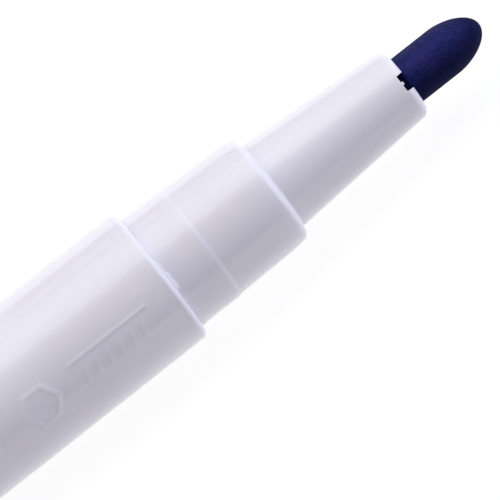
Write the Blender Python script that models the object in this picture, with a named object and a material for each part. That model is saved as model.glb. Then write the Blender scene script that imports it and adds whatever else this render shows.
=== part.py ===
"""Fabric marking pen lying on its side, uncapped, with its cap posted on the tail.

Units are metres. +X runs along the pen towards the nib, +Z is up, and the origin is under the
middle of the pen's box, on the surface it lies on. Stations called s are measured along the
pen's axis from the barrel's front rim: positive towards the nib, negative towards the tail.
Angles called turn are measured about the axis from straight up (+Z) towards -Y.
"""
import math

import bmesh
import bpy
from mathutils import Matrix, Vector

# Driving dimensions
SIDES = 32                      # flats on every turned piece; one flat faces straight down
FIT_GAP = 0.0003                # clearance between pieces that touch on the real pen
SLIDE_GAP = 0.00015             # radial clearance between the cap and the seats it grips
MERGE = 1e-6                    # points closer than this are one point

BARREL_RADIUS = 0.00725
BARREL_BORE = 0.00635
BARREL_LENGTH = 0.084
BARREL_RIM_ROUND = 0.00055
RIB_COUNT = 6
RIB_WIDTH = 0.0007

COLLAR_REAR_RADIUS = 0.0062     # the collar is the front seat for the cap
COLLAR_FRONT_RADIUS = 0.00588
COLLAR_LENGTH = 0.0132
COLLAR_ROUND = 0.0007
SNAP_BEAD_STATION = 0.0049
SNAP_BEAD_HEIGHT = 0.00004
SNAP_BEAD_WIDTH = 0.0005

NOSE_LENGTH = 0.0160
NOSE_REAR_RADIUS = 0.00468
NOSE_FRONT_RADIUS = 0.00371
NOSE_ROUND = 0.0007
INSERT_LENGTH = 0.010           # stretch of the front section inside the barrel
NIB_HOLDER_LENGTH = 0.0042
NIB_HOLDER_LEAD = 0.0004
NIB_ROOM_REAR_RADIUS = 0.0035   # the room round the nib behind its holder
NIB_ROOM_FRONT_RADIUS = 0.0032
VENT_COUNT = 3
VENT_WIDTH = 0.0018
VENT_DEPTH = 0.00075
VENT_TURN = math.radians(30)    # one vent notch is seen from above, on the -Y side

NIB_RADIUS = 0.0025
NIB_LENGTH = 0.0384
NIB_STANDS_OUT = 0.0087         # from the nose's front face to the point
BULLET_LENGTH = 0.00417
BULLET_RINGS = 6
NIB_HEEL_LENGTH = 0.002         # tapered rear end, pressed into the filler
NIB_HEEL_RADIUS = 0.0015

FILLER_RADIUS = 0.0047
FILLER_REAR_STATION = -0.082
FILLER_FRONT_STATION = 0.0092
FILM_THICKNESS = 0.00015

PLUG_INSERT_LENGTH = 0.008
PLUG_FLANGE_RADIUS = 0.0071
PLUG_FLANGE_LENGTH = 0.001
PLUG_SEAT_LENGTH = 0.012        # rear seat for the posted cap
PLUG_WALL = 0.0012

CAP_LENGTH = 0.044
CAP_BORE = COLLAR_REAR_RADIUS + SLIDE_GAP
CAP_CROWN_THICKNESS = 0.0014
CAP_MOUTH_ROUND = 0.0004
CAP_CROWN_ROUND = 0.0011
LINER_MOUTH_DEPTH = 0.0138      # from the cap's mouth to the liner's mouth
LINER_BORE = 0.0049
LINER_END_THICKNESS = 0.001

CLIP_WIDTH = 0.005
CLIP_TIP_WIDTH = 0.0042
CLIP_HEIGHT = 0.0101            # from the pen's axis to the clip's outer face
CLIP_THICKNESS = 0.0013
CLIP_LENGTH = 0.036
CLIP_ROOT_LENGTH = 0.0045
CLIP_START = 0.0012             # from the crown's end face
CLIP_EDGE = 0.00035
CLIP_FILLET = 0.001             # between the root and the arm
CLIP_END_SLOPES = (0.0012, 0.0008)  # chamfers over the root and at the free end
CLIP_PAD_GAP = 0.00045          # under the pad that holds the cloth of a pocket
CLIP_PAD_STATIONS = (0.0018, 0.0042, 0.0062)    # from the free end: lead-in, pad, slope to the arm
CLIP_IN_WALL = 0.00015          # the root stops this far short of the cap's bore

# Stations worked out from the driving dimensions
NOSE_START = COLLAR_LENGTH
NOSE_END = NOSE_START + NOSE_LENGTH
NIB_TIP = NOSE_END + NIB_STANDS_OUT
FLANGE_FRONT = -BARREL_LENGTH - FIT_GAP
SEAT_START = FLANGE_FRONT - PLUG_FLANGE_LENGTH
SEAT_END = SEAT_START - PLUG_SEAT_LENGTH
CAP_MOUTH = SEAT_START - FIT_GAP
CROWN_END = CAP_MOUTH - CAP_LENGTH
INSERT_RADIUS = BARREL_BORE - FIT_GAP
FILM_RADIUS = FILLER_RADIUS + 2 * FILM_THICKNESS
FILLER_ROOM = FILM_RADIUS + FIT_GAP
CENTRE_STATION = (NIB_TIP + CROWN_END) / 2
AXIS_HEIGHT = BARREL_RADIUS

COLOURS = {
    "white_plastic": ((0.80, 0.78, 0.86, 1.0), 0.22),
    "ink_plastic": ((0.035, 0.035, 0.16, 1.0), 0.25),
    "natural_plastic": ((0.70, 0.71, 0.72, 1.0), 0.40),
    "nib_felt": ((0.012, 0.013, 0.075, 1.0), 0.90),
    "filler_fibre": ((0.05, 0.05, 0.22, 1.0), 0.95),
    "filler_film": ((0.75, 0.78, 0.80, 1.0), 0.15),
}


def clear_scene():
    for item in list(bpy.data.objects):
        bpy.data.objects.remove(item, do_unlink=True)


def material(name):
    """The Principled material of that name, made once."""
    found = bpy.data.materials.get(name)
    if found:
        return found
    colour, roughness = COLOURS[name]
    made = bpy.data.materials.new(name)
    made.use_nodes = True
    made.diffuse_color = colour
    shader = made.node_tree.nodes["Principled BSDF"]
    shader.inputs["Base Color"].default_value = colour
    shader.inputs["Roughness"].default_value = roughness
    shader.inputs["Metallic"].default_value = 0.0
    return made


def clip_corners():
    """The chamfered outer corner of the clip, as (sideways, outwards) pairs from the axis."""
    half = CLIP_WIDTH / 2
    return [(half - CLIP_EDGE, CLIP_HEIGHT), (half, CLIP_HEIGHT - CLIP_EDGE)]


def clip_angle_from_down():
    """How far the clip stands from straight down when its corner meets the surface below."""
    turns = []
    for sideways, outwards in clip_corners():
        reach = math.hypot(sideways, outwards)
        turns.append(math.atan2(sideways, outwards) + math.acos(AXIS_HEIGHT / reach))
    return max(turns)


CLIP_TURN = math.pi - clip_angle_from_down()
CLIP_REACH = max(outwards * math.sin(CLIP_TURN) + sideways * abs(math.cos(CLIP_TURN))
                 for sideways, outwards in clip_corners())
AXIS_Y = (CLIP_REACH - BARREL_RADIUS) / 2


def axis_empty(name, station):
    """An empty on the pen's axis, which the turned pieces hang from."""
    empty = bpy.data.objects.new(name, None)
    empty.location = (station - CENTRE_STATION, AXIS_Y, AXIS_HEIGHT)
    empty.empty_display_size = 0.01
    bpy.context.scene.collection.objects.link(empty)
    return empty


def place(name, mesh, parent, station, slot, turn=0.0):
    """An object whose own x axis is the pen's axis, with x = 0 at its parent's station."""
    piece = bpy.data.objects.new(name, mesh)
    bpy.context.scene.collection.objects.link(piece)
    piece.parent = parent
    piece.location = (station - parent["station"], 0, 0)
    piece.rotation_euler = (turn, 0, 0)
    mesh.materials.append(material(slot))
    return piece


def arc(centre_s, centre_r, radius, start_deg, end_deg, steps):
    """Points of an arc in the (s, r) half plane; 0 degrees points to +s and 90 away from the axis."""
    points = []
    for step in range(steps + 1):
        angle = math.radians(start_deg + (end_deg - start_deg) * step / steps)
        points.append((centre_s + radius * math.cos(angle), centre_r + radius * math.sin(angle)))
    return points


def turned_mesh(name, outline, closed=True):
    """Spin an outline of (s, r) points about the pen's axis; its flats touch the true round."""
    reach = 1 / math.cos(math.pi / SIDES)
    half_side = Matrix.Rotation(math.pi / SIDES, 4, "X")
    bm = bmesh.new()
    verts = [bm.verts.new(half_side @ Vector((s, 0, r * reach))) for s, r in outline]
    edges = [bm.edges.new(pair) for pair in zip(verts, verts[1:])]
    if closed:
        edges.append(bm.edges.new((verts[-1], verts[0])))
    bmesh.ops.spin(bm, geom=verts + edges, cent=(0, 0, 0), axis=(1, 0, 0),
                   angle=2 * math.pi, steps=SIDES, use_merge=True)
    bmesh.ops.remove_doubles(bm, verts=bm.verts, dist=MERGE)
    bmesh.ops.recalc_face_normals(bm, faces=bm.faces)
    mesh = bpy.data.meshes.new(name)
    bm.to_mesh(mesh)
    bm.free()
    mesh.shade_smooth()
    mesh.set_sharp_from_angle(angle=math.radians(35))
    return mesh


def guide(name, mesh, parent, station, turn=0.0):
    """A piece that only shapes another one."""
    piece = place(name, mesh, parent, station, "white_plastic", turn)
    piece.hide_render = True
    piece.display_type = "WIRE"
    return piece


def box_mesh(name, low, high):
    bm = bmesh.new()
    size = [b - a for a, b in zip(low, high)]
    middle = [(a + b) / 2 for a, b in zip(low, high)]
    bmesh.ops.create_cube(bm, size=1.0, matrix=Matrix.Translation(middle) @ Matrix.Diagonal((*size, 1)))
    mesh = bpy.data.meshes.new(name)
    bm.to_mesh(mesh)
    bm.free()
    return mesh


def boolean(piece, other, operation):
    modifier = piece.modifiers.new(other.name, "BOOLEAN")
    modifier.operation = operation
    modifier.solver = "EXACT"
    modifier.object = other


def snap_bead(station, radius):
    """A low bead round a cap seat, as outline points running towards smaller s."""
    half = SNAP_BEAD_WIDTH / 2
    return [(station + half, radius), (station, radius + SNAP_BEAD_HEIGHT), (station - half, radius)]


def seat_radius(distance):
    """Radius of a cap seat at a distance from its root: both seats have the collar's taper."""
    return COLLAR_REAR_RADIUS + (COLLAR_FRONT_RADIUS - COLLAR_REAR_RADIUS) * distance / COLLAR_LENGTH


def barrel(parent):
    outline = [(0, BARREL_BORE)]
    outline += arc(-BARREL_RIM_ROUND, BARREL_RADIUS - BARREL_RIM_ROUND, BARREL_RIM_ROUND, 0, 90, 3)
    outline += arc(-BARREL_LENGTH + FIT_GAP, BARREL_RADIUS - FIT_GAP, FIT_GAP, 90, 180, 1)
    outline += [(-BARREL_LENGTH, BARREL_BORE)]
    piece = place("barrel", turned_mesh("barrel", outline), parent, 0, "white_plastic")
    rib_front = -INSERT_LENGTH - FIT_GAP
    rib_rear = -BARREL_LENGTH + PLUG_INSERT_LENGTH + FIT_GAP
    middle_of_wall = (BARREL_BORE + BARREL_RADIUS) / 2
    for number in range(RIB_COUNT):
        mesh = box_mesh("rib", (rib_rear, -RIB_WIDTH / 2, FILLER_ROOM),
                        (rib_front, RIB_WIDTH / 2, middle_of_wall))
        turn = math.pi / SIDES + 2 * math.pi * number / RIB_COUNT
        boolean(piece, guide(f"rib_{number + 1}", mesh, parent, 0, turn), "UNION")
    return piece


def front_section(parent):
    """Insert, collar and nose in one moulding, bored through for the filler and the nib."""
    bead_radius = seat_radius(SNAP_BEAD_STATION)
    holder_start = NOSE_END - NIB_HOLDER_LENGTH
    holder_bore = NIB_RADIUS + FIT_GAP
    shoulder = FILLER_FRONT_STATION + FIT_GAP
    outline = [(NOSE_END, holder_bore)]
    outline += arc(NOSE_END - NOSE_ROUND, NOSE_FRONT_RADIUS - NOSE_ROUND, NOSE_ROUND, 0, 90, 3)
    outline += [(NOSE_START, NOSE_REAR_RADIUS)]
    outline += arc(COLLAR_LENGTH - COLLAR_ROUND, COLLAR_FRONT_RADIUS - COLLAR_ROUND, COLLAR_ROUND, 0, 90, 3)
    outline += snap_bead(SNAP_BEAD_STATION, bead_radius)
    outline += [(0, COLLAR_REAR_RADIUS), (-FIT_GAP, INSERT_RADIUS)]
    outline += [(-INSERT_LENGTH + FIT_GAP, INSERT_RADIUS), (-INSERT_LENGTH, INSERT_RADIUS - FIT_GAP)]
    outline += [(-INSERT_LENGTH, FILLER_ROOM), (shoulder, FILLER_ROOM), (shoulder, NIB_ROOM_REAR_RADIUS)]
    outline += [(holder_start, NIB_ROOM_FRONT_RADIUS), (holder_start + NIB_HOLDER_LEAD, holder_bore)]
    piece = place("front_section", turned_mesh("front_section", outline), parent, 0, "white_plastic")
    for number in range(VENT_COUNT):
        mesh = box_mesh("vent", (NOSE_END - VENT_DEPTH, -VENT_WIDTH / 2, NIB_RADIUS / 2),
                        (NOSE_END + VENT_DEPTH, VENT_WIDTH / 2, NOSE_FRONT_RADIUS + VENT_DEPTH))
        turn = VENT_TURN + 2 * math.pi * number / VENT_COUNT
        boolean(piece, guide(f"vent_{number + 1}", mesh, parent, 0, turn), "DIFFERENCE")
    return piece


def nib(parent):
    """Felt rod with a bullet point, whose section falls off as the square root of 1 - t^1.5."""
    bullet_start = NIB_TIP - BULLET_LENGTH
    rear = NIB_TIP - NIB_LENGTH
    outline = [(NIB_TIP, 0)]
    for ring in range(BULLET_RINGS - 1, -1, -1):
        t = math.sin(math.pi / 2 * ring / BULLET_RINGS)
        outline.append((bullet_start + t * BULLET_LENGTH, NIB_RADIUS * math.sqrt(1 - t ** 1.5)))
    outline += [(rear + NIB_HEEL_LENGTH, NIB_RADIUS), (rear, NIB_HEEL_RADIUS), (rear, 0)]
    return place("nib", turned_mesh("nib", outline, closed=False), parent, 0, "nib_felt")


def ink_filler(parent):
    """Rod of bonded fibre that holds the ink, with a socket where the nib's rear end sits."""
    socket = NIB_RADIUS + FIT_GAP
    socket_end = NIB_TIP - NIB_LENGTH - FIT_GAP
    outline = [(socket_end, 0), (socket_end, socket), (FILLER_FRONT_STATION, socket)]
    outline += [(FILLER_FRONT_STATION, FILLER_RADIUS), (FILLER_REAR_STATION, FILLER_RADIUS)]
    outline += [(FILLER_REAR_STATION, 0)]
    mesh = turned_mesh("ink_filler", outline, closed=False)
    return place("ink_filler", mesh, parent, 0, "filler_fibre")


def filler_film(parent):
    """Thin sleeve round the filler, open at both ends."""
    inner = FILLER_RADIUS + FILM_THICKNESS
    outline = [(FILLER_FRONT_STATION, inner), (FILLER_FRONT_STATION, FILM_RADIUS)]
    outline += [(FILLER_REAR_STATION, FILM_RADIUS), (FILLER_REAR_STATION, inner)]
    return place("filler_film", turned_mesh("filler_film", outline), parent, 0, "filler_film")


def tail_plug(parent):
    """Cup pressed into the barrel's rear, with a flange and the rear seat for the cap."""
    insert_front = FLANGE_FRONT + FIT_GAP + PLUG_INSERT_LENGTH
    stop = FILLER_REAR_STATION - FIT_GAP
    core = COLLAR_FRONT_RADIUS - PLUG_WALL
    bead_station = SEAT_START - SNAP_BEAD_STATION
    end_radius = seat_radius(PLUG_SEAT_LENGTH)
    outline = [(insert_front, FILLER_ROOM), (insert_front, INSERT_RADIUS - FIT_GAP)]
    outline += [(insert_front - FIT_GAP, INSERT_RADIUS), (FLANGE_FRONT, INSERT_RADIUS)]
    outline += [(FLANGE_FRONT, PLUG_FLANGE_RADIUS), (SEAT_START, PLUG_FLANGE_RADIUS)]
    outline += [(SEAT_START, COLLAR_REAR_RADIUS)] + snap_bead(bead_station, seat_radius(SNAP_BEAD_STATION))
    outline += arc(SEAT_END + COLLAR_ROUND, end_radius - COLLAR_ROUND, COLLAR_ROUND, 90, 180, 3)
    outline += [(SEAT_END, 0), (SEAT_END + PLUG_WALL, 0), (SEAT_END + PLUG_WALL, core)]
    outline += [(stop, core), (stop, FILLER_ROOM)]
    # The outline crosses the axis twice, so it is spun from one axis point to the other.
    turn_point = outline.index((SEAT_END, 0))
    spun = outline[turn_point + 1:] + outline[:turn_point + 1]
    return place("tail_plug", turned_mesh("tail_plug", spun, closed=False), parent, 0, "ink_plastic")


def clip_mesh():
    """Clip in its own frame: x from the crown's end face to the mouth, z out from the axis."""
    outer = CLIP_HEIGHT
    inner = CLIP_HEIGHT - CLIP_THICKNESS
    in_wall = CAP_BORE + CLIP_IN_WALL
    pad = BARREL_RADIUS + CLIP_PAD_GAP
    end = CLIP_START + CLIP_LENGTH
    root_end = CLIP_START + CLIP_ROOT_LENGTH
    root_slope, end_slope = CLIP_END_SLOPES
    lead_in, pad_rear, pad_slope = (end - distance for distance in CLIP_PAD_STATIONS)
    side = [(CLIP_START, in_wall), (CLIP_START, outer - root_slope), (CLIP_START + root_slope, outer)]
    side += [(end - end_slope, outer), (end, outer - end_slope), (end, inner)]
    side += [(lead_in, pad), (pad_rear, pad), (pad_slope, inner)]
    side += [(root_end + CLIP_FILLET, inner), (root_end, inner - CLIP_FILLET), (root_end, in_wall)]
    bm = bmesh.new()
    rings = []
    for sign in (-1, 1):
        ring = []
        for x, z in side:
            share = (x - CLIP_START) / CLIP_LENGTH
            width = CLIP_WIDTH + (CLIP_TIP_WIDTH - CLIP_WIDTH) * share
            ring.append(bm.verts.new((x, sign * width / 2, z)))
        rings.append(ring)
        bm.faces.new(ring)
    for index in range(len(side)):
        following = (index + 1) % len(side)
        bm.faces.new((rings[0][index], rings[0][following], rings[1][following], rings[1][index]))
    bmesh.ops.recalc_face_normals(bm, faces=bm.faces)
    along = [edge for edge in bm.edges if edge.verts[0].co.y * edge.verts[1].co.y > 0]
    outer_edges = [edge for edge in along
                   if max(vert.co.z for vert in edge.verts) > outer - MERGE
                   and min(vert.co.z for vert in edge.verts) > outer - root_slope - MERGE]
    bmesh.ops.bevel(bm, geom=outer_edges, offset=CLIP_EDGE, segments=1, affect="EDGES")
    mesh = bpy.data.meshes.new("clip")
    bm.to_mesh(mesh)
    bm.free()
    return mesh


def cap_shell(parent):
    """Cap with a moulded clip; its mouth faces the barrel."""
    bottom = CROWN_END + CAP_CROWN_THICKNESS
    outline = [(bottom, 0), (bottom, CAP_BORE), (CAP_MOUTH - CAP_MOUTH_ROUND, CAP_BORE)]
    outline += [(CAP_MOUTH, CAP_BORE + CAP_MOUTH_ROUND / 2)]
    outline += arc(CAP_MOUTH - CAP_MOUTH_ROUND, BARREL_RADIUS - CAP_MOUTH_ROUND, CAP_MOUTH_ROUND, 0, 90, 2)
    outline += arc(CROWN_END + CAP_CROWN_ROUND, BARREL_RADIUS - CAP_CROWN_ROUND, CAP_CROWN_ROUND, 90, 180, 3)
    outline += [(CROWN_END, 0)]
    outline = [(s - CAP_MOUTH, r) for s, r in outline]
    mesh = turned_mesh("cap_shell", outline, closed=False)
    piece = place("cap_shell", mesh, parent, CAP_MOUTH, "ink_plastic")
    clip = guide("clip", clip_mesh(), parent, CROWN_END, CLIP_TURN)
    boolean(piece, clip, "UNION")
    return piece


def cap_liner(parent):
    """Inner cup that closes on the nose when the cap is on, so that the ink doesn't dry."""
    outer = CAP_BORE - FIT_GAP
    mouth = CAP_MOUTH - LINER_MOUTH_DEPTH
    end = CROWN_END + CAP_CROWN_THICKNESS + FIT_GAP
    bottom = end + LINER_END_THICKNESS
    outline = [(bottom, 0), (bottom, LINER_BORE), (mouth - FIT_GAP, LINER_BORE)]
    outline += [(mouth, LINER_BORE + FIT_GAP), (mouth, outer), (end, outer), (end, 0)]
    outline = [(s - mouth, r) for s, r in outline]
    mesh = turned_mesh("cap_liner", outline, closed=False)
    return place("cap_liner", mesh, parent, mouth, "natural_plastic")


def main():
    clear_scene()
    pen = axis_empty("pen_axis", 0)
    pen["station"] = 0
    cap = axis_empty("cap_axis", CAP_MOUTH)
    cap["station"] = CAP_MOUTH
    for make in (barrel, front_section, nib, ink_filler, filler_film, tail_plug):
        make(pen)
    for make in (cap_shell, cap_liner):
        make(cap)


main()
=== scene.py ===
"""Looks of the fabric marking pen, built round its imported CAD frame. Metres, +X to the nib, +Z up.

Every visible piece is a fine turned mesh that stands for its CAD node. Stations called s are
measured along the pen's axis from the barrel's front rim, positive towards the nib. Angles called
turn are measured about the axis from straight up towards -Y, the side that the camera is on.
"""
import math

import bmesh
import bpy
import numpy as np
from mathutils import Matrix, Vector, noise


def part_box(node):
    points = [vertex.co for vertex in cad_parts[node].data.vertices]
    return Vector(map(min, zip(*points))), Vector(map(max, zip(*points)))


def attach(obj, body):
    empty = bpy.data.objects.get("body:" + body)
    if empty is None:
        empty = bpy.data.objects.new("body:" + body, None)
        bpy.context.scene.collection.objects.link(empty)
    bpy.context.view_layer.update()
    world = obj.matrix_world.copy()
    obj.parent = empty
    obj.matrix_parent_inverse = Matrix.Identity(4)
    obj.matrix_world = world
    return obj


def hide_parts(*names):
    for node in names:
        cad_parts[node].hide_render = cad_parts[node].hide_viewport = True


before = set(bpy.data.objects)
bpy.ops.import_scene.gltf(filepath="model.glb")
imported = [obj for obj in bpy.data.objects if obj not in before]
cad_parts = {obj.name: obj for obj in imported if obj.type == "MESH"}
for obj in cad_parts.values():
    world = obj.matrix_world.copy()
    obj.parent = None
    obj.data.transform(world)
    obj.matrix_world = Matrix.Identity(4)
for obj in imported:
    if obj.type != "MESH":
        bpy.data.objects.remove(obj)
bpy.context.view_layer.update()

MM = 0.001
TAU = 2 * math.pi
TOUCHING = 1e-6 * MM
MERGE_WITHIN = 2e-4 * MM                # points of a turned mesh that meet on the axis
CHAMFER = 0.3 * MM                      # of hidden edges and of the sides of dishes

# The pen's axis and main stations, from the frame
BARREL_LOW, BARREL_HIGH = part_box("barrel")
FRONT_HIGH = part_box("front_section")[1]
NIB_LOW, NIB_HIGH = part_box("nib")
PLUG_LOW, PLUG_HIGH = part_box("tail_plug")
CAP_LOW, CAP_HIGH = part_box("cap_shell")
LINER_LOW, LINER_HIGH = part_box("cap_liner")
AXIS_Y = (BARREL_LOW.y + BARREL_HIGH.y) / 2
AXIS_Z = (BARREL_LOW.z + BARREL_HIGH.z) / 2
RIM_X = BARREL_HIGH.x                   # every station s is measured from here
BARREL_RADIUS = (BARREL_HIGH.z - BARREL_LOW.z) / 2
BARREL_LENGTH = BARREL_HIGH.x - BARREL_LOW.x
NOSE_END = FRONT_HIGH.x - RIM_X
NIB_RADIUS = (NIB_HIGH.z - NIB_LOW.z) / 2
NIB_TIP = NIB_HIGH.x - RIM_X
NIB_HEEL = NIB_LOW.x - RIM_X
CAP_MOUTH = CAP_HIGH.x - RIM_X
CROWN_END = CAP_LOW.x - RIM_X

# Camera
SENSOR_WIDTH = 36                       # mm, as Blender counts it
FACING_ELEVATION = math.radians(60)     # of the camera above the -Y horizon, seen along the pen
TIP_AWAY = math.radians(2.7)            # the nib's end is a little further off
AXIS_IN_PICTURE = math.radians(38.2)    # the pen rises to the right by this much
CAMERA_DISTANCE = 0.8
PICTURE_WIDTH = 46.75 * MM              # what the frame spans at the pen's axis
CENTRE_STATION = 7.9 * MM
CENTRE_BELOW_AXIS = 3.4 * MM
CAMERA_TURN = math.pi / 2 - FACING_ELEVATION    # the side of the pen that faces the camera

# Light: (degrees about the pen's axis, share of the level), then the panel past the nib
SOFT_LIGHT_LEVEL = 2.6
SOFT_LIGHT = [(52, 0.0), (72, 0.055), (86, 0.34), (91.7, 0.38), (92.1, 0.88), (99, 1.0), (110, 0.92),
              (120, 0.95), (130, 0.58), (138, 0.55), (146, 0.04), (154, 0.28), (162, 0.0)]
SOFT_LIGHT_FRONT_TINT = (1.0, 0.94, 1.0)
SOFT_LIGHT_BACK_TINT = (0.985, 1.0, 0.955)
FRONT_TINT_TO = 92
PANEL_COLOUR = (1.75, 1.85, 2.4)
PANEL_EDGE = (0.65, 0.74)               # the panel begins where a direction's x is between these
FLOOR_SIZE = 6.0

# Barrel
BARREL_BORE = 6.35 * MM
RIM_ROUND = 0.66 * MM
REAR_ROUND = 0.3 * MM
RIB_COUNT = 6
RIB_HALF = 0.35 * MM
RIB_INNER = 5.3 * MM
RIB_TURN = math.radians(5.6)
RIB_REAR = -75.7 * MM
RIB_FRONT = -10.3 * MM
RIB_STEP = 0.01 * MM                    # how steep a rib's ends are
# Unevenness: (height, length along the pen, lobes round it, phase) of each wave, and one hump
BARREL_WAVES = [(0.006 * MM, 19 * MM, 3, 0.4),
                (0.005 * MM, 11 * MM, -4, 2.1),
                (0.003 * MM, 5.3 * MM, 7, 4.0)]
HUMP_HEIGHT = 0.06 * MM
HUMP_STATION = -2.9 * MM
HUMP_LENGTH = 1.5 * MM
HUMP_TURN = CAMERA_TURN - math.radians(8)
HUMP_WIDTH = 1.7 * MM
# Plain raised marks. Across is measured round the barrel from MARK_TURN
MARK_HEIGHT = 0.056 * MM
MARK_TURN = CAMERA_TURN + math.radians(23)
MARKS_FRONT = -2.4 * MM
MARKS_MIDDLE = -21.5 * MM               # the marks behind it are meshed less finely
MARKS_REAR = -50 * MM
RIDGE_REAR = -12.4 * MM
RIDGE_FRONT = -3.4 * MM
RIDGE_ACROSS = -1.45 * MM
RIDGE_HALF = 0.02 * MM
MARK_HALF = 0.06 * MM
MARK_EDGE = 0.32 * MM
DASH_COUNT = 6
DASH_START = -11.6 * MM
DASH_PITCH = 1.35 * MM
DASH_LEAN = 0.35 * MM
DASH_ACROSS = (0.95 * MM, -0.35 * MM)
DASH_SHARE = 0.6                        # of the marks' height
HEXAGON_COUNT = 5
HEXAGON_START = -16.6 * MM
HEXAGON_PITCH = 7.4 * MM
HEXAGON_ACROSS = 0.1 * MM
HEXAGON_RADIUS = 1.95 * MM
HEXAGON_EDGE = 0.36 * MM

# Front section: collar, snap bead and burr, nose, vent notches, inside
COLLAR_REAR = 6.2 * MM
SEAM_RADIUS = 6.345 * MM                # the collar's root, which fills the barrel's mouth
COLLAR_FRONT = 5.93 * MM
COLLAR_LENGTH = 13.2 * MM
COLLAR_ROUND = 0.8 * MM
COLLAR_STEP_ROUND = 0.15 * MM           # where the nose rises from the collar's front face
BEAD_CREST = 4.38 * MM                  # the snap bead, measured from the seat's start
BEAD_HEIGHT = 0.1 * MM
BEAD_RISE = 4.0 * MM                    # long and gentle on the barrel's side
BEAD_FALL = 0.62 * MM
FLARE_HEIGHT = 0.11 * MM                # the collar widens a little into the barrel's mouth
FLARE_LENGTH = 0.5 * MM
LEAD_IN_LENGTH = 1.9 * MM               # the collar's front end curves in before its rounding
LEAD_IN_DROP = 0.09 * MM
LEAD_IN_START = COLLAR_LENGTH - COLLAR_ROUND - LEAD_IN_LENGTH
FLASH_SLOPE = 0.29                      # the burr's height against its reach
FLASH_ACROSS = np.array([-1.3, -0.7, 0.0, 0.5, 1.0, 1.5, 2.0, 2.3]) * MM
FLASH_REACH = np.array([0.0, 0.26, 0.20, 0.44, 0.36, 0.50, 0.42, 0.0]) * MM
FLASH_END = 0.6 * MM                    # the collar's stations are closer together up to here
FLARE_END = 2 * MM
SEAM_GAP = 0.004 * MM                   # between the barrel's rim and the burr's underside
NOSE_REAR = 4.74 * MM
NOSE_FRONT = 3.74 * MM
NOSE_ROUND = 0.88 * MM
NOSE_INNER_ROUND = 0.22 * MM
NOSE_BORE = 2.62 * MM
NOSE_TAPER = (NOSE_REAR - NOSE_FRONT) / (NOSE_END - COLLAR_LENGTH - NOSE_ROUND)
VENT_COUNT = 3
VENT_WIDTH = 1.8 * MM
VENT_DEPTH = 0.75 * MM
VENT_EDGE = 0.05 * MM
VENT_TURN = math.radians(30)
TOOTH_WIDTH = 0.28 * MM
TOOTH_HEIGHT = 0.19 * MM
VENT_FINE_SHARE = 1.15                  # finely meshed width of a vent, against its own width
INSERT_LENGTH = 10 * MM
INSERT_RADIUS = BARREL_BORE - 0.3 * MM
INSERT_BORE = 5.3 * MM
SEAM_DEPTH = 0.5 * MM
NIB_ROOM_START = 9.5 * MM
NIB_ROOM_END = 25 * MM
NIB_ROOM_REAR = 3.5 * MM
NIB_ROOM_FRONT = 3.2 * MM
NIB_HOLDER_START = 25.4 * MM

# Nib
BULLET_LENGTH = 4.17 * MM
BULLET_POWER = 1.7
HEEL_LENGTH = 2 * MM
HEEL_RADIUS = 1.5 * MM
FELT_START = 26 * MM                    # the felt's roughness is modelled from here to the point
FELT_STEP = 0.08 * MM
FELT_ROUGHNESS = 0.012 * MM
FELT_GRAIN = 5200                       # of the roughness, per metre
FELT_STRETCH = 0.35                     # the grain is drawn out along the rod
NIB_COLUMNS = 220                       # points round the nib's mesh

# Plug
PLUG_FLANGE_RADIUS = 7.1 * MM
PLUG_FLANGE_REAR = -BARREL_LENGTH - 1.3 * MM    # and the start of the seat
PLUG_FLANGE_FRONT = -BARREL_LENGTH - 0.3 * MM
PLUG_FLANGE_ROUND = 0.2 * MM
PLUG_INSERT_RADIUS = 6.05 * MM
PLUG_INSERT_BORE = 5.3 * MM
PLUG_CORE = 4.68 * MM
PLUG_CORE_END = -82.3 * MM
PLUG_WALL = 1.2 * MM
DIMPLE_RADIUS = 1.6 * MM
DIMPLE_DEPTH = 0.25 * MM
PLUG_COLUMNS = 144

# Cap, its liner and its clip
CAP_BORE = 6.35 * MM
CAP_MOUTH_ROUND = 0.4 * MM
CAP_LEAD_IN = 0.2 * MM                  # how much the bore widens into the mouth
CAP_COLUMNS = 180
CROWN_THICKNESS = 1.4 * MM
CROWN_ROUND = 1.1 * MM
CROWN_DISH_RADIUS = 4.6 * MM
CROWN_DISH_DEPTH = 0.25 * MM
GATE_RADIUS = 0.9 * MM
GATE_DEPTH = 0.15 * MM
GATE_SLOPE = 0.2 * MM
LINER_BORE = 4.9 * MM
LINER_BOTTOM = 1 * MM
LINER_FILLET = 0.6 * MM
LINER_END_ROUND = 0.5 * MM
LINER_COLUMNS = 120
CLIP_WIDTH = 5.0 * MM
CLIP_TIP_WIDTH = 4.2 * MM
CLIP_HEIGHT = 10.1 * MM
CLIP_THICKNESS = 1.3 * MM
CLIP_LENGTH = 36 * MM
CLIP_START = 1.2 * MM
CLIP_ROOT_LENGTH = 4.5 * MM
CLIP_ROOT_RADIUS = 6.5 * MM             # inside the cap's wall, where the root is joined to it
CLIP_ROOT_SLOPE = 1.2 * MM
CLIP_END_CHAMFER = (0.8 * MM, 0.45 * MM)
CLIP_FILLET = 1 * MM
CLIP_PAD_GAP = 0.45 * MM
CLIP_PAD_STATIONS = (1.8 * MM, 4.2 * MM, 6.2 * MM)  # from the free end: lead-in, pad, slope
CLIP_EDGE = 0.35 * MM                   # the CAD clip's chamfer
CLIP_INSET = 0.05 * MM                  # keeps the rounded corners inside the CAD's chamfered ones
CLIP_ROUND = 0.4 * MM


# ---------------------------------------------------------------- mesh making

def arc(centre_s, centre_r, radius, start_deg, end_deg, steps):
    """Points of an arc in the (s, r) half plane; 0 degrees points to +s and 90 away from the axis."""
    angles = np.radians(np.linspace(start_deg, end_deg, steps + 1))
    return [(centre_s + radius * math.cos(angle), centre_r + radius * math.sin(angle)) for angle in angles]


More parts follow.
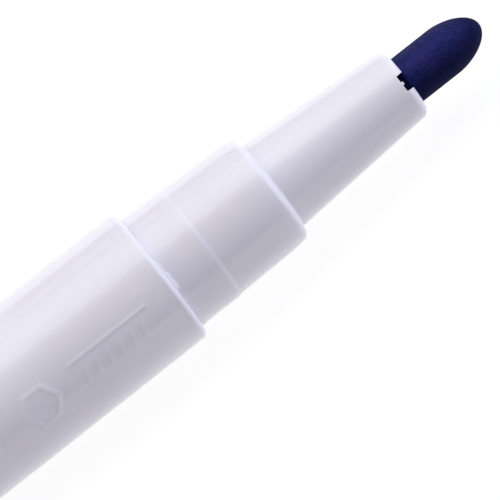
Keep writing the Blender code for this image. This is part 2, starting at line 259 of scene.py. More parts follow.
def spaced(start, end, step):
    """Evenly spaced values from start to end, no further apart than step, without the last one."""
    count = max(1, math.ceil(abs(end - start) / step))
    return [start + (end - start) * index / count for index in range(count)]


def densified(outline, step):
    """The outline with long straight runs split, so that bumps and shading have points to use."""
    made = []
    for (s0, r0), (s1, r1) in zip(outline, outline[1:]):
        count = max(1, math.ceil(math.hypot(s1 - s0, r1 - r0) / step))
        made += [(s0 + (s1 - s0) * i / count, r0 + (r1 - r0) * i / count) for i in range(count)]
    return made + [outline[-1]]


def turned(name, outline, turns, closed=True, shape=None, sharp=40):
    """A mesh object turned about the pen's axis from (s, r) points running clockwise round the
    section, seen with +s to the right. shape(s, r, turn), if given, returns the grid's moved s
    and r."""
    s, r = (np.array(values, float) for values in zip(*outline))
    turn = np.array(turns, float)
    grid_s = np.repeat(s[None, :], len(turn), axis=0)
    grid_r = np.repeat(r[None, :], len(turn), axis=0)
    grid_turn = np.repeat(turn[:, None], len(s), axis=1)
    if shape:
        grid_s, grid_r = shape(grid_s, grid_r, grid_turn)
    places = np.stack([RIM_X + grid_s,
                       AXIS_Y - grid_r * np.sin(grid_turn),
                       AXIS_Z + grid_r * np.cos(grid_turn)], axis=-1)
    columns, rows = len(turn), len(s)
    index = np.arange(columns * rows).reshape(columns, rows)
    row_pairs = rows if closed else rows - 1
    here = index[:, :row_pairs]
    along = np.roll(index, -1, axis=1)[:, :row_pairs]
    across = np.roll(here, -1, axis=0)
    both = np.roll(along, -1, axis=0)
    faces = np.stack([here, across, both, along], axis=-1).reshape(-1, 4)
    mesh = bpy.data.meshes.new(name)
    mesh.from_pydata(places.reshape(-1, 3).tolist(), [], faces.tolist())
    bm = bmesh.new()
    bm.from_mesh(mesh)
    bmesh.ops.remove_doubles(bm, verts=bm.verts, dist=MERGE_WITHIN)
    bmesh.ops.recalc_face_normals(bm, faces=bm.faces)
    bm.to_mesh(mesh)
    bm.free()
    mesh.shade_smooth()
    mesh.set_sharp_from_angle(angle=math.radians(sharp))
    piece = bpy.data.objects.new(name, mesh)
    bpy.context.scene.collection.objects.link(piece)
    return piece


def all_round(count):
    """Evenly spaced turns round the whole circle."""
    return [TAU * index / count for index in range(count)]


def fine_sector(middle, half, fine_step, coarse_step):
    """Turns round the whole circle, finely spaced within half of the middle."""
    inside = spaced(middle - half, middle + half, fine_step)
    return inside + spaced(middle + half, middle - half + TAU, coarse_step)


def bump_profile(distance, half_width, edge):
    """1 inside half_width, falling smoothly to 0 over the edge beyond it."""
    t = np.clip((half_width + edge - distance) / edge, 0, 1)
    return t * t * (3 - 2 * t)


def place(piece, body, slot, *nodes):
    """The piece rides on the body and stands for the CAD nodes, which are hidden; slot is not used."""
    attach(piece, body)
    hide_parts(*nodes)


# ---------------------------------------------------------------- materials

class Nodes:
    """Short names for building a node tree."""

    def __init__(self, tree):
        self.tree = tree

    def new(self, kind, **settings):
        node = self.tree.nodes.new(kind)
        for key, value in settings.items():
            setattr(node, key, value)
        return node

    def link(self, source, target):
        self.tree.links.new(source, target)

    def stretched(self, scale):
        """The piece's own coordinates, scaled along each axis."""
        node = self.new("ShaderNodeMapping")
        node.inputs["Scale"].default_value = scale
        self.link(self.place, node.inputs["Vector"])
        return node.outputs["Vector"]

    def noise(self, per_metre, detail=3.0, roughness=0.55, vector=None, distortion=0.0):
        """Noise in the piece's own coordinates, or in the stretched ones given as vector."""
        node = self.new("ShaderNodeTexNoise")
        node.inputs["Scale"].default_value = per_metre
        node.inputs["Detail"].default_value = detail
        node.inputs["Roughness"].default_value = roughness
        node.inputs["Distortion"].default_value = distortion
        self.link(vector or self.place, node.inputs["Vector"])
        return node.outputs["Fac"]

    def voronoi(self, per_metre, vector):
        node = self.new("ShaderNodeTexVoronoi")
        node.inputs["Scale"].default_value = per_metre
        self.link(vector, node.inputs["Vector"])
        return node.outputs["Distance"]

    def ramp(self, source, stops):
        """stops: (position, colour) pairs; a colour is 3 numbers."""
        node = self.new("ShaderNodeValToRGB")
        elements = node.color_ramp.elements
        while len(elements) < len(stops):
            elements.new(0.5)
        for element, (position, colour) in zip(elements, stops):
            element.position = position
            element.color = (*colour, 1)
        self.link(source, node.inputs["Fac"])
        return node.outputs["Color"]

    def span(self, source, low, high, start=0.0, end=1.0):
        """source from start..end mapped to low..high."""
        node = self.new("ShaderNodeMapRange")
        for key, value in (("From Min", start), ("From Max", end), ("To Min", low), ("To Max", high)):
            node.inputs[key].default_value = value
        self.link(source, node.inputs["Value"])
        return node.outputs["Result"]

    def mix(self, factor, first, second, blend="MIX"):
        node = self.new("ShaderNodeMix", data_type="RGBA", blend_type=blend)
        for socket, value in ((node.inputs[0], factor), (node.inputs[6], first), (node.inputs[7], second)):
            if hasattr(value, "links"):
                self.link(value, socket)
            elif isinstance(value, (int, float)):
                socket.default_value = value
            else:
                socket.default_value = (*value, 1)
        return node.outputs[2]

    def add(self, first, second, operation="ADD"):
        node = self.new("ShaderNodeMath", operation=operation)
        for socket, value in zip(node.inputs, (first, second)):
            if hasattr(value, "links"):
                self.link(value, socket)
            else:
                socket.default_value = value
        return node.outputs[0]

    def bump(self, height, distance, normal=None):
        """Relief, whose distance is in metres, on top of another normal if there is one."""
        node = self.new("ShaderNodeBump")
        node.inputs["Strength"].default_value = 1.0
        node.inputs["Distance"].default_value = distance
        self.link(height, node.inputs["Height"])
        if normal:
            self.link(normal, node.inputs["Normal"])
        return node.outputs["Normal"]


class Material(Nodes):
    """One material's node tree, its shader, and the piece's own coordinates."""

    def __init__(self, name):
        self.material = bpy.data.materials.new(name)
        self.material.use_nodes = True
        super().__init__(self.material.node_tree)
        self.shader = self.tree.nodes["Principled BSDF"]
        self.place = self.new("ShaderNodeTexCoord").outputs["Object"]

    def set(self, **values):
        """Sets or links the shader's sockets; underscores in a name stand for spaces."""
        for key, value in values.items():
            socket = self.shader.inputs[key.replace("_", " ")]
            if hasattr(value, "links"):
                self.link(value, socket)
            else:
                socket.default_value = value


def moulded_plastic(name, colour, shade, roughness, scatter=0.0, scatter_radius=(1, 1, 1)):
    """Glossy moulded polypropylene: faint flow clouds, drawn streaks along the pen, orange peel,
    long waves, and hairline scuffs that only show in the gloss."""
    made = Material(name)
    clouds = made.noise(90, detail=4)
    streaks = made.noise(420, detail=3, vector=made.stretched((0.06, 1, 1)))
    tone = made.add(made.span(clouds, 0.0, 0.7, 0.3, 0.7), made.span(streaks, 0.0, 0.3, 0.3, 0.7))
    made.set(Base_Color=made.mix(made.span(tone, 0, 1, 0.1, 0.9), colour, shade))
    paths = made.noise(2400, detail=2, vector=made.stretched((0.3, 1, 1)), distortion=0.8)
    scuffs = made.span(paths, 0, 1, 0.66, 0.74)
    patches = made.span(made.noise(300, detail=2), 0, 1, 0.50, 0.72)
    wear = made.add(scuffs, patches, "MULTIPLY")
    gloss = made.span(made.noise(260, detail=3), roughness - 0.03, roughness + 0.04, 0.3, 0.7)
    made.set(Roughness=made.add(gloss, made.span(wear, 0.0, 0.15)))
    peel = made.bump(made.noise(2200, detail=1), 0.0012 * MM)
    waves = made.bump(made.noise(190, detail=1, vector=made.stretched((0.6, 1, 1))), 0.03 * MM, normal=peel)
    made.set(Normal=made.bump(wear, 0.0015 * MM, normal=waves))
    made.set(IOR=1.49, Subsurface_Weight=scatter, Subsurface_Radius=scatter_radius,
             Subsurface_Scale=0.6 * MM if scatter else 0.0, Specular_IOR_Level=0.5)
    return made.material


def white_plastic():
    return moulded_plastic("white_polypropylene", (0.755, 0.728, 0.790), (0.735, 0.704, 0.770), 0.06,
                           scatter=0.15, scatter_radius=(1.0, 0.9, 1.1))


def ink_plastic():
    return moulded_plastic("ink_blue_polypropylene", (0.024, 0.025, 0.128), (0.018, 0.018, 0.100), 0.24)


def natural_plastic():
    return moulded_plastic("natural_polypropylene", (0.74, 0.75, 0.77), (0.66, 0.67, 0.69), 0.38, scatter=0.4)


def nib_felt():
    """Ink-soaked pressed felt: short fibres along the rod and violet patches over the blue. Painted
    shade makes the felt's colour darker below its upper edge, and almost black where it enters the nose."""
    made = Material("nib_felt")
    fibres = made.noise(7000, detail=4, roughness=0.65, vector=made.stretched((0.45, 1, 1)))
    clumps = made.noise(2600, detail=4, roughness=0.6)
    pools = made.noise(420, detail=3)
    fine = made.span(made.add(fibres, clumps), 0, 1, 0.7, 1.3)
    ink = made.ramp(fine, [(0.0, (0.004, 0.005, 0.038)), (0.5, (0.0065, 0.009, 0.068)),
                           (1.0, (0.018, 0.022, 0.140))])
    patched = made.mix(made.span(pools, 0.0, 0.6, 0.48, 0.72), ink, (0.018, 0.011, 0.080))
    axes = made.new("ShaderNodeSeparateXYZ")
    made.link(made.place, axes.inputs["Vector"])
    # clear is 0 inside the nose's rim and 1 past it
    rim = FRONT_HIGH.x
    clear = made.span(axes.outputs["X"], 0, 1, rim - 0.15 * MM, rim + 0.1 * MM)
    # upper is the top of the rod. Below it the colour is darkened: painted shade on the felt's lower side
    upper = made.span(axes.outputs["Z"], 0, 1, AXIS_Z + 0.55 * NIB_RADIUS, AXIS_Z + NIB_RADIUS)
    painted_shade_below = made.mix(upper, made.mix(1.0, patched, (0.45, 0.45, 0.45), "MULTIPLY"), patched)
    # Painted shade: the colour is almost black where the felt goes into the nose's recess
    made.set(Base_Color=made.mix(clear, (0.001, 0.001, 0.008), painted_shade_below))
    dull = made.span(made.add(clear, upper, "MULTIPLY"), 0.5, 0.0)
    made.set(Roughness=made.add(dull, made.span(fibres, 0.40, 0.54, 0.3, 0.7)))
    grain = made.bump(fibres, 0.02 * MM)
    cells = made.voronoi(5200, made.stretched((0.6, 1, 1)))
    made.set(Normal=made.bump(made.add(clumps, cells), 0.04 * MM, normal=grain))
    made.set(Specular_IOR_Level=0.7, Specular_Tint=(0.2, 0.26, 1.0, 1), IOR=1.35)
    return made.material


def filler_fibre():
    """Bundled polyester fibre, dark where the ink has soaked it."""
    made = Material("filler_fibre")
    strands = made.noise(5200, detail=4, vector=made.stretched((0.05, 1, 1)))
    soaked = made.noise(120, detail=3)
    ink = made.ramp(strands, [(0.3, (0.03, 0.03, 0.16)), (0.7, (0.07, 0.07, 0.28))])
    made.set(Base_Color=made.mix(made.span(soaked, 0, 0.6, 0.5, 0.7), ink, (0.22, 0.22, 0.42)))
    made.set(Roughness=made.span(strands, 0.85, 1.0, 0.3, 0.7))
    made.set(Normal=made.bump(strands, 0.08 * MM))
    return made.material


def filler_film():
    """Thin clear film with drawn lines."""
    made = Material("filler_film")
    lines = made.noise(3200, detail=2, vector=made.stretched((0.02, 1, 1)))
    haze = made.noise(180, detail=3)
    made.set(Base_Color=made.mix(made.span(haze, 0, 1, 0.35, 0.65), (0.70, 0.73, 0.78), (0.78, 0.80, 0.83)))
    made.set(Roughness=made.span(lines, 0.10, 0.24, 0.3, 0.7))
    made.set(Normal=made.bump(lines, 0.006 * MM), Transmission_Weight=0.4, IOR=1.45)
    return made.material


# ---------------------------------------------------------------- pieces

def segment_distance(a, b, start, end):
    """Distance of points (a, b) from the segment start-end, all in metres."""
    (a0, b0), (a1, b1) = start, end
    squared_length = (a1 - a0) ** 2 + (b1 - b0) ** 2
    t = np.clip(((a - a0) * (a1 - a0) + (b - b0) * (b1 - b0)) / squared_length, 0, 1)
    return np.hypot(a - a0 - t * (a1 - a0), b - b0 - t * (b1 - b0))


def hexagon_distance(a, b, centre, radius):
    """Distance from the outline of a hexagon with a corner on the long axis."""
    x, y = np.abs(a - centre[0]), np.abs(b - centre[1])
    half = radius * math.cos(math.pi / 6)
    return np.abs(np.maximum(y - half, x * math.cos(math.pi / 6) + y * 0.5 - half))


def mark_height(s, turn):
    """Height of the plain raised marks on the barrel: a long ridge, short dashes under it, and
    hexagon outlines further back."""
    across = BARREL_RADIUS * (turn - MARK_TURN)
    ridge = segment_distance(s, across, (RIDGE_REAR, RIDGE_ACROSS), (RIDGE_FRONT, RIDGE_ACROSS))
    height = bump_profile(ridge, RIDGE_HALF, MARK_EDGE)
    for index in range(DASH_COUNT):
        foot = DASH_START + DASH_PITCH * index
        dash = segment_distance(s, across, (foot, DASH_ACROSS[0]), (foot + DASH_LEAN, DASH_ACROSS[1]))
        height = np.maximum(height, DASH_SHARE * bump_profile(dash, MARK_HALF, MARK_EDGE))
    for index in range(HEXAGON_COUNT):
        centre = (HEXAGON_START - HEXAGON_PITCH * index, HEXAGON_ACROSS)
        outline = hexagon_distance(s, across, centre, HEXAGON_RADIUS)
        height = np.maximum(height, bump_profile(outline, MARK_HALF, HEXAGON_EDGE))
    return MARK_HEIGHT * height


def moulding_waves(s, turn):
    """Slight unevenness of the barrel's outside, with one soft hump behind the mouth."""
    waves = np.zeros_like(s)
    for amplitude, length, lobes, phase in BARREL_WAVES:
        waves += amplitude * np.sin(TAU * s / length + lobes * turn + phase)
    across = BARREL_RADIUS * (turn - HUMP_TURN)
    hump = np.exp(-((s - HUMP_STATION) / HUMP_LENGTH) ** 2 - (across / HUMP_WIDTH) ** 2)
    deepest = sum(amplitude for amplitude, *_ in BARREL_WAVES)
    return waves - deepest + HUMP_HEIGHT * hump


def barrel_outline():
    """Section of the barrel, its stations closest together where the marks are."""
    skin = spaced(-RIM_ROUND - 0.2 * MM, MARKS_FRONT, 0.25 * MM)
    skin += spaced(MARKS_FRONT, MARKS_MIDDLE, 0.11 * MM)
    skin += spaced(MARKS_MIDDLE, MARKS_REAR, 0.2 * MM)
    skin += spaced(MARKS_REAR, -BARREL_LENGTH + REAR_ROUND + 0.1 * MM, 1 * MM)
    bore = [-BARREL_LENGTH, RIB_REAR - RIB_STEP, RIB_REAR]
    bore += spaced(RIB_REAR + 2 * MM, RIB_FRONT, 3 * MM) + [RIB_FRONT, RIB_FRONT + RIB_STEP]
    outline = [(0, BARREL_BORE)]
    outline += arc(-RIM_ROUND, BARREL_RADIUS - RIM_ROUND, RIM_ROUND, 0, 90, 10)
    outline += [(s, BARREL_RADIUS) for s in skin]
    outline += arc(-BARREL_LENGTH + REAR_ROUND, BARREL_RADIUS - REAR_ROUND, REAR_ROUND, 90, 180, 5)
    return outline + [(s, BARREL_BORE) for s in bore]


def barrel_piece():
    """The barrel with its rounded rim, inner ribs, slight unevenness and marks."""
    def shape(s, r, turn):
        on_skin = r > BARREL_RADIUS - TOUCHING
        in_bore = r < (BARREL_RADIUS + BARREL_BORE) / 2
        off = (turn - RIB_TURN + math.pi / RIB_COUNT) % (TAU / RIB_COUNT) - math.pi / RIB_COUNT
        on_rib = (np.abs(off) * BARREL_BORE < RIB_HALF) & (s >= RIB_REAR) & (s <= RIB_FRONT)
        relief = moulding_waves(s, turn) + mark_height(s, turn)
        return s, np.where(in_bore & on_rib, RIB_INNER, np.where(on_skin, r + relief, r))

    turns = fine_sector(MARK_TURN, math.radians(21), 0.11 * MM / BARREL_RADIUS, math.radians(2.5))
    piece = turned("barrel_skin", barrel_outline(), turns, shape=shape)
    piece.data.materials.append(white_plastic_material)
    place(piece, "pen", "white_plastic", "barrel")


def vent_floor(radius, turn):
    """How far the nose's rim is cut back: the parallel-sided vent notches, with a tooth in each."""
    cut = np.zeros_like(turn)
    for index in range(VENT_COUNT):
        middle = VENT_TURN + TAU * index / VENT_COUNT
        off = (turn - middle + math.pi) % TAU - math.pi
        distance = np.abs(radius * np.sin(off))
        near = np.cos(off) > 0
        notch = VENT_DEPTH * bump_profile(distance, VENT_WIDTH / 2 - VENT_EDGE, VENT_EDGE)
        tooth = TOOTH_HEIGHT * bump_profile(distance, TOOTH_WIDTH / 2, VENT_EDGE)
        cut = np.where(near, np.maximum(cut, notch - tooth), cut)
    return cut


def flash_height(s, turn):
    """A burr of flash, squeezed out of the joint, that slopes down from the barrel's rim on to the
    collar. FLASH_REACH is how far it reaches at each place across the collar."""
    across = COLLAR_REAR * (turn - CAMERA_TURN)
    reach = np.interp(across, FLASH_ACROSS, FLASH_REACH)
    share = np.clip(s / np.maximum(reach, 0.01 * MM), 0, 1)
    return FLASH_SLOPE * reach * (1 - share * share * (3 - 2 * share))


def bead_height(along):
    """The snap bead of both cap seats; along is the distance from the seat's start."""
    rise = np.clip((along - BEAD_CREST + BEAD_RISE) / BEAD_RISE, 0, 1)
    fall = np.clip((along - BEAD_CREST) / BEAD_FALL, 0, 1)
    return BEAD_HEIGHT * (rise - fall * fall * (3 - 2 * fall))


def nose_outline():
    """The nose's rim from its bore outwards, its taper, and the step down to the collar's face."""
    rim = arc(NOSE_END - NOSE_INNER_ROUND, NOSE_BORE + NOSE_INNER_ROUND, NOSE_INNER_ROUND, -90, 0, 4)
    rim += arc(NOSE_END - NOSE_ROUND, NOSE_FRONT - NOSE_ROUND, NOSE_ROUND, 0, 86, 14)
    taper_s, taper_r = rim[-1]
    rear = COLLAR_LENGTH + COLLAR_STEP_ROUND
    taper = [(s, taper_r + (taper_s - s) * NOSE_TAPER) for s in spaced(taper_s - 0.1 * MM, rear, 0.6 * MM)]
    return rim + taper + [(rear, NOSE_REAR), (COLLAR_LENGTH, NOSE_REAR + COLLAR_STEP_ROUND)]


def seat_radius(along):
    """Taper of both cap seats; along is the distance from the seat's start, at the barrel."""
    return COLLAR_REAR + (COLLAR_FRONT - COLLAR_REAR) * along / COLLAR_LENGTH


def collar_outline():
    """The collar from its front edge back to the seam, closest where the bead and the burr are."""
    stations = spaced(COLLAR_LENGTH - COLLAR_ROUND - 0.1 * MM, LEAD_IN_START, 0.3 * MM)
    stations += spaced(LEAD_IN_START, BEAD_CREST + BEAD_FALL, 0.8 * MM)
    stations += spaced(BEAD_CREST + BEAD_FALL, BEAD_CREST, 0.045 * MM)
    stations += spaced(BEAD_CREST, FLARE_END, 0.4 * MM)
    stations += spaced(FLARE_END, FLASH_END, 0.14 * MM)
    stations += spaced(FLASH_END, 0, 0.04 * MM) + [SEAM_GAP]
    front_edge = arc(COLLAR_LENGTH - COLLAR_ROUND, COLLAR_FRONT - COLLAR_ROUND, COLLAR_ROUND, 0, 84, 12)
    return front_edge + [(s, seat_radius(s)) for s in stations]


def front_inside_outline():
    """The seam, the insert in the barrel, the filler's and the nib's rooms, and the nib's holder."""
    outline = [(0, SEAM_RADIUS), (-SEAM_DEPTH, SEAM_RADIUS), (-SEAM_DEPTH - 0.2 * MM, INSERT_RADIUS)]
    outline += [(-INSERT_LENGTH, INSERT_RADIUS), (-INSERT_LENGTH, INSERT_BORE), (NIB_ROOM_START, INSERT_BORE)]
    outline += [(NIB_ROOM_START, NIB_ROOM_REAR), (NIB_ROOM_END, NIB_ROOM_FRONT)]
    return outline + [(NIB_HOLDER_START, NOSE_BORE), (NOSE_END - 1 * MM, NOSE_BORE)]


def vent_turns():
    """Turns round the whole circle, finely spaced at each vent notch."""
    turns = []
    half = VENT_WIDTH / 2 / NOSE_BORE * VENT_FINE_SHARE
    for index in range(VENT_COUNT):
        middle = VENT_TURN + TAU * index / VENT_COUNT
        turns += spaced(middle - half, middle + half, 0.024 * MM / NOSE_FRONT)
        turns += spaced(middle + half, middle + TAU / VENT_COUNT - half, math.radians(1.5))
    return turns


def front_piece():
    """Collar and nose in one moulding, with the snap bead, the burr and the vent notches."""
    def shape(s, r, turn):
        along = np.maximum(s, 0)
        flare = FLARE_HEIGHT * np.exp(-along / FLARE_LENGTH)
        lead_in = np.clip((s - LEAD_IN_START) / LEAD_IN_LENGTH, 0, 1) ** 2
        added = bead_height(along) + flare + flash_height(along, turn) - LEAD_IN_DROP * lead_in
        on_collar = (r > COLLAR_FRONT - 1.01 * COLLAR_ROUND) & (s > 0) & (s < COLLAR_LENGTH + 0.01 * MM)
        r = np.where(on_collar, r + added, r)
        return np.minimum(s, NOSE_END - vent_floor(r, turn)), r

    outline = nose_outline() + collar_outline() + front_inside_outline()
    piece = turned("nose_skin", outline, vent_turns(), shape=shape)
    piece.data.materials.append(white_plastic_material)
    place(piece, "pen", "white_plastic", "front_section")


def nib_piece():
    """Felt rod with a bullet point, whose radius falls off as the square root of a power's rest."""
    start = NIB_TIP - BULLET_LENGTH
    outline = []
    for t in np.sin(np.linspace(math.pi / 2, 0, 60)):
        outline.append((start + t * BULLET_LENGTH, NIB_RADIUS * math.sqrt(max(0, 1 - t ** BULLET_POWER))))
    outline += [(s, NIB_RADIUS) for s in spaced(start - FELT_STEP, FELT_START, FELT_STEP)]
    outline += [(FELT_START, NIB_RADIUS), (NIB_HEEL + HEEL_LENGTH, NIB_RADIUS)]
    outline += [(NIB_HEEL, HEEL_RADIUS), (NIB_HEEL, 0)]

    def shape(s, r, turn):
        rough = np.zeros_like(s)
        for at in np.ndindex(s.shape):
            if s[at] < FELT_START:
                continue
            across = r[at] * math.sin(turn[at]), r[at] * math.cos(turn[at])
            point = Vector((s[at] * FELT_STRETCH, *across)) * FELT_GRAIN
            rough[at] = noise.noise(point) * 0.6 + noise.noise(point * 2.3) * 0.4
        return s, np.maximum(r - FELT_ROUGHNESS * np.abs(rough) * np.clip(r / NIB_RADIUS, 0, 1), 0)

    piece = turned("nib_felt_rod", outline, all_round(NIB_COLUMNS), closed=False, shape=shape, sharp=60)
    piece.data.materials.append(nib_felt())
    place(piece, "pen", "nib_felt", "nib")


def plug_piece():
    """Tail plug: flange, tapered seat with its snap bead, and a dimpled end."""
    front = PLUG_HIGH.x - RIM_X
    seat_end = PLUG_LOW.x - RIM_X
    end_radius = seat_radius(PLUG_FLANGE_REAR - seat_end)
    flange_centre = PLUG_FLANGE_RADIUS - PLUG_FLANGE_ROUND
    outline = [(seat_end + PLUG_WALL, 0), (seat_end + PLUG_WALL, PLUG_CORE), (PLUG_CORE_END, PLUG_CORE)]
    outline += [(PLUG_CORE_END, PLUG_INSERT_BORE), (front, PLUG_INSERT_BORE)]
    outline += [(front, PLUG_INSERT_RADIUS - CHAMFER), (front - CHAMFER, PLUG_INSERT_RADIUS)]
    outline += [(PLUG_FLANGE_FRONT, PLUG_INSERT_RADIUS)]
    outline += arc(PLUG_FLANGE_FRONT - PLUG_FLANGE_ROUND, flange_centre, PLUG_FLANGE_ROUND, 0, 90, 4)
    outline += arc(PLUG_FLANGE_REAR + PLUG_FLANGE_ROUND, flange_centre, PLUG_FLANGE_ROUND, 90, 180, 4)
    outline += [(PLUG_FLANGE_REAR, COLLAR_REAR)]
    outline += arc(seat_end + COLLAR_ROUND, end_radius - COLLAR_ROUND, COLLAR_ROUND, 90, 180, 10)
    outline += [(seat_end, DIMPLE_RADIUS), (seat_end + DIMPLE_DEPTH, DIMPLE_RADIUS - CHAMFER)]
    outline += [(seat_end + DIMPLE_DEPTH, 0)]

    def shape(s, r, turn):
        on_seat = (r > (PLUG_CORE + end_radius) / 2) & (s < PLUG_FLANGE_REAR - 1 * MM)
        return s, np.where(on_seat, r + bead_height(PLUG_FLANGE_REAR - s), r)

    stations = densified(outline[::-1], 0.25 * MM)
    piece = turned("plug_skin", stations, all_round(PLUG_COLUMNS), closed=False, shape=shape)
    piece.data.materials.append(ink_plastic_material)
    place(piece, "pen", "ink_plastic", "tail_plug")


def clip_mesh():
    """Clip in the cap's frame: s from the crown's end, sideways, and outwards from the axis."""
    outer, inner = CLIP_HEIGHT - CLIP_INSET, CLIP_HEIGHT - CLIP_THICKNESS
    end = CLIP_START + CLIP_LENGTH
    root_end = CLIP_START + CLIP_ROOT_LENGTH
    pad = BARREL_RADIUS + CLIP_PAD_GAP
    lead_in, pad_rear, pad_slope = (end - distance for distance in CLIP_PAD_STATIONS)
    side = [(CLIP_START, CLIP_ROOT_RADIUS), (CLIP_START, outer - CLIP_ROOT_SLOPE)]
    side += [(CLIP_START + CLIP_ROOT_SLOPE, outer)]
    side += [(end - CLIP_END_CHAMFER[0], outer), (end, outer - CLIP_END_CHAMFER[1]), (end, inner)]
    side += [(lead_in, pad), (pad_rear, pad), (pad_slope, inner)]
    side += [(root_end + CLIP_FILLET, inner), (root_end, inner - CLIP_FILLET), (root_end, CLIP_ROOT_RADIUS)]
    bm = bmesh.new()
    rings = []
    for sign in (-1, 1):
        ring = []
        for x, z in side:
            share = (x - CLIP_START) / CLIP_LENGTH
            width = CLIP_WIDTH + (CLIP_TIP_WIDTH - CLIP_WIDTH) * share - 2 * CLIP_INSET
            ring.append(bm.verts.new((x, sign * width / 2, z)))
        rings.append(ring)
        bm.faces.new(ring)
    for index in range(len(side)):
        following = (index + 1) % len(side)
        bm.faces.new((rings[0][index], rings[0][following], rings[1][following], rings[1][index]))
    bmesh.ops.recalc_face_normals(bm, faces=bm.faces)
    mesh = bpy.data.meshes.new("clip")
    bm.to_mesh(mesh)
    bm.free()
    return mesh


def clip_turn():
    """The clip's turn: its outer corner meets the surface that the pen lies on."""
    half = CLIP_WIDTH / 2
    angles = []
    for sideways, outwards in ((half - CLIP_EDGE, CLIP_HEIGHT), (half, CLIP_HEIGHT - CLIP_EDGE)):
        reach = math.hypot(sideways, outwards)
        angles.append(math.atan2(sideways, outwards) + math.acos(AXIS_Z / reach))
    return math.pi - max(angles)


def cap_outline():
    """Section of the cap without its clip: bore, mouth, skin, and the dished crown with its gate."""
    bottom = CROWN_END + CROWN_THICKNESS
    dish = CROWN_END + CROWN_DISH_DEPTH
    gate = CROWN_END + GATE_DEPTH
    outline = [(bottom, 0), (bottom, CAP_BORE - CHAMFER), (bottom + CHAMFER, CAP_BORE)]
    outline += [(CAP_MOUTH - CAP_MOUTH_ROUND, CAP_BORE), (CAP_MOUTH, CAP_BORE + CAP_LEAD_IN)]
    outline += arc(CAP_MOUTH - CAP_MOUTH_ROUND, BARREL_RADIUS - CAP_MOUTH_ROUND, CAP_MOUTH_ROUND, 0, 90, 8)
    outline += arc(CROWN_END + CROWN_ROUND, BARREL_RADIUS - CROWN_ROUND, CROWN_ROUND, 90, 180, 14)
    outline += [(CROWN_END, CROWN_DISH_RADIUS), (dish, CROWN_DISH_RADIUS - CHAMFER)]
    return outline + [(dish, GATE_RADIUS), (gate, GATE_RADIUS - GATE_SLOPE), (gate, 0)]


def cap_piece():
    """Cap shell with its clip, joined into one moulding."""
    stations = densified(cap_outline()[::-1], 0.6 * MM)
    piece = turned("cap_skin", stations, all_round(CAP_COLUMNS), closed=False)
    clip = bpy.data.objects.new("clip_guide", clip_mesh())
    bpy.context.scene.collection.objects.link(clip)
    clip.matrix_world = Matrix.Translation((CAP_LOW.x, AXIS_Y, AXIS_Z)) @ Matrix.Rotation(clip_turn(), 4, "X")
    bevel = clip.modifiers.new("round", "BEVEL")
    bevel.width = CLIP_ROUND
    bevel.segments = 4
    bevel.limit_method = "ANGLE"
    bevel.angle_limit = math.radians(20)
    join = piece.modifiers.new("clip", "BOOLEAN")
    join.operation = "UNION"
    join.solver = "EXACT"
    join.object = clip
    depsgraph = bpy.context.evaluated_depsgraph_get()
    joined = bpy.data.meshes.new_from_object(piece.evaluated_get(depsgraph), depsgraph=depsgraph)
    piece.modifiers.clear()
    piece.data = joined
    bpy.data.objects.remove(clip)
    joined.shade_smooth()
    joined.set_sharp_from_angle(angle=math.radians(40))
    joined.materials.clear()
    joined.materials.append(ink_plastic_material)
    place(piece, "cap", "ink_plastic", "cap_shell")


def liner_piece():
    """Inner cup of the cap, with a rounded lip that seals on the nose."""
    mouth = LINER_HIGH.x - RIM_X
    end = LINER_LOW.x - RIM_X
    outer = (LINER_HIGH.z - LINER_LOW.z) / 2
    bottom = end + LINER_BOTTOM
    lip = (outer - LINER_BORE) / 2
    outline = [(bottom, 0), (bottom, LINER_BORE - LINER_FILLET), (bottom + LINER_FILLET, LINER_BORE)]
    outline += arc(mouth - lip, LINER_BORE + lip, lip, -90, 90, 12)
    outline += arc(end + LINER_END_ROUND, outer - LINER_END_ROUND, LINER_END_ROUND, 90, 180, 6)
    outline += [(end, 0)]
    stations = densified(outline[::-1], 0.8 * MM)
    piece = turned("liner_skin", stations, all_round(LINER_COLUMNS), closed=False)
    piece.data.materials.append(natural_plastic())
    place(piece, "cap", "natural_plastic", "cap_liner")


def inner_nodes():
    """The filler and its film stay as CAD made them, shut inside the barrel."""
    for node, make in (("ink_filler", filler_fibre), ("filler_film", filler_film)):
        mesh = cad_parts[node].data
        mesh.materials.clear()
        mesh.materials.append(make())


# ---------------------------------------------------------------- stage

def floor():
    """A wide pale floor that glows just enough to stay white under soft shadows."""
    bm = bmesh.new()
    bmesh.ops.create_grid(bm, x_segments=8, y_segments=8, size=FLOOR_SIZE)
    mesh = bpy.data.meshes.new("floor")
    bm.to_mesh(mesh)
    bm.free()
    ground = bpy.data.objects.new("floor", mesh)
    bpy.context.scene.collection.objects.link(ground)
    made = Material("floor")
    made.set(Base_Color=(0.18, 0.18, 0.18, 1), Roughness=0.9, Specular_IOR_Level=0.1,
             Emission_Color=(1, 1, 1, 1), Emission_Strength=0.88)
    mesh.materials.append(made.material)


def soft_light_colour(degrees, level):
    """The light is faintly cool towards the front, and faintly warm towards the back."""
    tint = SOFT_LIGHT_FRONT_TINT if degrees < FRONT_TINT_TO else SOFT_LIGHT_BACK_TINT
    return [level * channel for channel in tint]


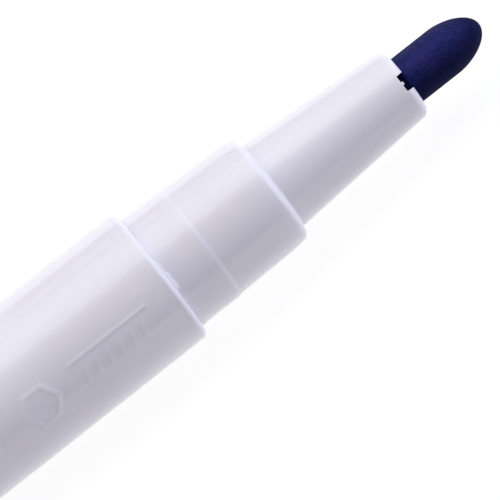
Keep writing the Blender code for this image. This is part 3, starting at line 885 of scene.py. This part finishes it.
def studio():
    """One wide soft light high behind the pen, a cool white panel past its nib, and a white far
    background for the camera. The soft light varies with the angle about the pen's axis, from the
    -Y horizon at 0 degrees over the top to the +Y horizon at 180."""
    world = bpy.data.worlds.new("studio")
    bpy.context.scene.world = world
    world.use_nodes = True
    world.node_tree.nodes.clear()
    made = Nodes(world.node_tree)
    direction = made.new("ShaderNodeSeparateXYZ")
    made.link(made.new("ShaderNodeTexCoord").outputs["Generated"], direction.inputs["Vector"])
    front = made.add(direction.outputs["Y"], -1.0, "MULTIPLY")
    angle = made.add(direction.outputs["Z"], front, "ARCTAN2")
    stops = [(degrees / 180, soft_light_colour(degrees, level)) for degrees, level in SOFT_LIGHT]
    overhead = made.ramp(made.span(angle, 0, 1, 0, math.pi), stops)
    panel = made.span(direction.outputs["X"], 0, 1, *PANEL_EDGE)
    light = made.new("ShaderNodeBackground")
    made.link(made.mix(panel, overhead, [level / SOFT_LIGHT_LEVEL for level in PANEL_COLOUR]),
              light.inputs["Color"])
    light.inputs["Strength"].default_value = SOFT_LIGHT_LEVEL
    backdrop = made.new("ShaderNodeBackground")
    mix = made.new("ShaderNodeMixShader")
    made.link(made.new("ShaderNodeLightPath").outputs["Is Camera Ray"], mix.inputs["Fac"])
    made.link(light.outputs["Background"], mix.inputs[1])
    made.link(backdrop.outputs["Background"], mix.inputs[2])
    backdrop.inputs["Color"].default_value = (1, 1, 1, 1)
    made.link(mix.outputs["Shader"], made.new("ShaderNodeOutputWorld").inputs["Surface"])


def camera():
    """Looks down on the pen so that it rises to the right, its nib a little further off."""
    facing = Vector((0, -math.cos(FACING_ELEVATION), math.sin(FACING_ELEVATION)))
    along = Vector((1, 0, 0))
    back = (facing * math.cos(TIP_AWAY) - along * math.sin(TIP_AWAY)).normalized()
    seen_axis = (along - back * along.dot(back)).normalized()
    above_axis = back.cross(seen_axis)
    right = seen_axis * math.cos(AXIS_IN_PICTURE) - above_axis * math.sin(AXIS_IN_PICTURE)
    up = seen_axis * math.sin(AXIS_IN_PICTURE) + above_axis * math.cos(AXIS_IN_PICTURE)
    target = Vector((RIM_X + CENTRE_STATION, AXIS_Y, AXIS_Z)) - above_axis * CENTRE_BELOW_AXIS
    data = bpy.data.cameras.new("camera")
    data.sensor_width = SENSOR_WIDTH
    data.lens = SENSOR_WIDTH * CAMERA_DISTANCE / PICTURE_WIDTH
    data.clip_start = 0.01
    data.clip_end = 20
    seen = bpy.data.objects.new("camera", data)
    seen.matrix_world = Matrix.Translation(target + back * CAMERA_DISTANCE) @ Matrix(
        (right, up, back)).transposed().to_4x4()
    bpy.context.scene.collection.objects.link(seen)
    bpy.context.scene.camera = seen
    bpy.context.scene.view_settings.view_transform = "Standard"


white_plastic_material = white_plastic()
ink_plastic_material = ink_plastic()
camera()
studio()
floor()
barrel_piece()
front_piece()
nib_piece()
plug_piece()
cap_piece()
liner_piece()
inner_nodes()
